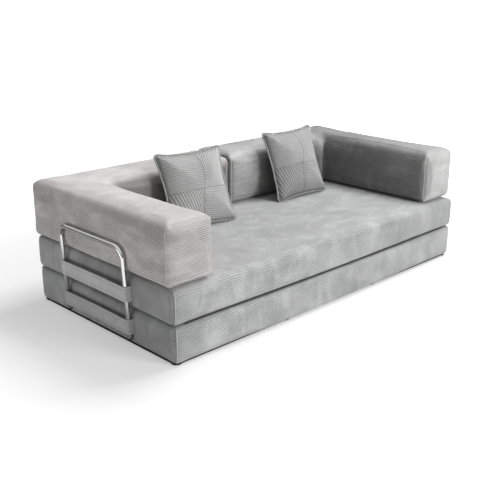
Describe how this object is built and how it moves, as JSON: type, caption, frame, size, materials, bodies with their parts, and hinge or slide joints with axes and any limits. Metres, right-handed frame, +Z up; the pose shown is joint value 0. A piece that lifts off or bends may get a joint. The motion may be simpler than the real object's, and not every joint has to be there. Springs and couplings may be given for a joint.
{
  "type": "sofa bed",
  "caption": "Low folding foam sofa bed in ribbed velvet: stacked hinged mattresses, corner bolsters for arms and back, tube frames in cloth loops, loose piped pillows.",
  "frame": {"origin": "middle of the footprint on the floor", "axes": "+X to the right of someone facing the sofa, +Y to the back, +Z up"},
  "size_m": [2.094, 1.065, 0.695],
  "materials": {
    "corduroy_velvet": "matte",
    "foam": "matte",
    "base_cloth": "matte",
    "rubber": "matte",
    "chrome_tube": "satin",
    "zip_tape": "matte",
    "zip_metal": "satin"
  },
  "bodies": {
    "base": {"lower_cover": "corduroy_velvet", "lower_foam": "foam", "base_panel": "base_cloth", "base_feet": "rubber", "lower_zip": "zip_tape", "fold_hinge": "corduroy_velvet", "lower_loop_left": "corduroy_velvet", "lower_loop_right": "corduroy_velvet", "lower_loop_back_left": "corduroy_velvet", "lower_loop_back_right": "corduroy_velvet"},
    "lower_slider": {"lower_zip_slider": "zip_metal"},
    "upper_mattress": {"upper_cover": "corduroy_velvet", "upper_foam": "foam", "upper_topper": "foam", "upper_zip": "zip_tape", "upper_loop_left": "corduroy_velvet", "upper_loop_right": "corduroy_velvet", "upper_loop_back_left": "corduroy_velvet", "upper_loop_back_right": "corduroy_velvet"},
    "upper_slider": {"upper_zip_slider": "zip_metal"},
    "left_bolster": {"bolster_cover_left": "corduroy_velvet", "bolster_foam_left": "foam", "bolster_zip_left": "zip_tape"},
    "left_bolster_slider": {"bolster_zip_slider_left": "zip_metal"},
    "left_pillow": {"pillow_cover_left": "corduroy_velvet", "pillow_filling_left": "foam", "pillow_piping_left": "corduroy_velvet"},
    "right_bolster": {"bolster_cover_right": "corduroy_velvet", "bolster_foam_right": "foam", "bolster_zip_right": "zip_tape"},
    "right_bolster_slider": {"bolster_zip_slider_right": "zip_metal"},
    "right_pillow": {"pillow_cover_right": "corduroy_velvet", "pillow_filling_right": "foam", "pillow_piping_right": "corduroy_velvet"},
    "left_frame": {"frame_left": "chrome_tube", "frame_caps_left": "rubber"},
    "right_frame": {"frame_right": "chrome_tube", "frame_caps_right": "rubber"},
    "back_left_frame": {"frame_back_left": "chrome_tube", "frame_caps_back_left": "rubber"},
    "back_right_frame": {"frame_back_right": "chrome_tube", "frame_caps_back_right": "rubber"}
  },
  "joints": [
    {"name": "fold", "type": "hinge", "parent": "base", "child": "upper_mattress", "pos_m": [0, -0.53305, 0.17625], "axis": [1, 0, 0], "range_deg": [0, 180], "deforming": ["fold_hinge", "upper_loop_left", "upper_loop_right", "upper_loop_back_left", "upper_loop_back_right"]},
    {"name": "lower_zip_run", "type": "slide", "parent": "base", "child": "lower_slider", "axis": [1, 0, 0], "range_m": [0, 1.788]},
    {"name": "upper_zip_run", "type": "slide", "parent": "upper_mattress", "child": "upper_slider", "axis": [1, 0, 0], "range_m": [0, 1.788]},
    {"name": "set_down_left", "type": "hinge", "parent": "upper_mattress", "child": "left_bolster", "pos_m": [0, 0.50695, 0.3414], "axis": [1, 0, 0], "range_deg": [-180, 0]},
    {"name": "bolster_zip_run_left", "type": "slide", "parent": "left_bolster", "child": "left_bolster_slider", "axis": [1, 0, 0], "range_m": [0, 0.788]},
    {"name": "pillow_lift_left", "type": "slide", "parent": "left_bolster", "child": "left_pillow", "axis": [0, 0, 1], "range_m": [0, 0.3]},
    {"name": "set_down_right", "type": "hinge", "parent": "upper_mattress", "child": "right_bolster", "pos_m": [0, 0.50695, 0.3414], "axis": [1, 0, 0], "range_deg": [-180, 0]},
    {"name": "bolster_zip_run_right", "type": "slide", "parent": "right_bolster", "child": "right_bolster_slider", "axis": [1, 0, 0], "range_m": [0, 0.788]},
    {"name": "pillow_lift_right", "type": "slide", "parent": "right_bolster", "child": "right_pillow", "axis": [0, 0, 1], "range_m": [0, 0.3]},
    {"name": "frame_lift_left", "type": "slide", "parent": "base", "child": "left_frame", "axis": [-0.0558, 0, 0.9984], "range_m": [0, 0.28]},
    {"name": "frame_lift_right", "type": "slide", "parent": "base", "child": "right_frame", "axis": [0.0558, 0, 0.9984], "range_m": [0, 0.28]},
    {"name": "frame_lift_back_left", "type": "slide", "parent": "base", "child": "back_left_frame", "axis": [0, 0, 1], "range_m": [0, 0.28]},
    {"name": "frame_lift_back_right", "type": "slide", "parent": "base", "child": "back_right_frame", "axis": [0, 0, 1], "range_m": [0, 0.28]}
  ],
  "couplings": [
    {"joint": "set_down_left", "follows": "fold", "ratio": -1},
    {"joint": "set_down_right", "follows": "fold", "ratio": -1}
  ]
}
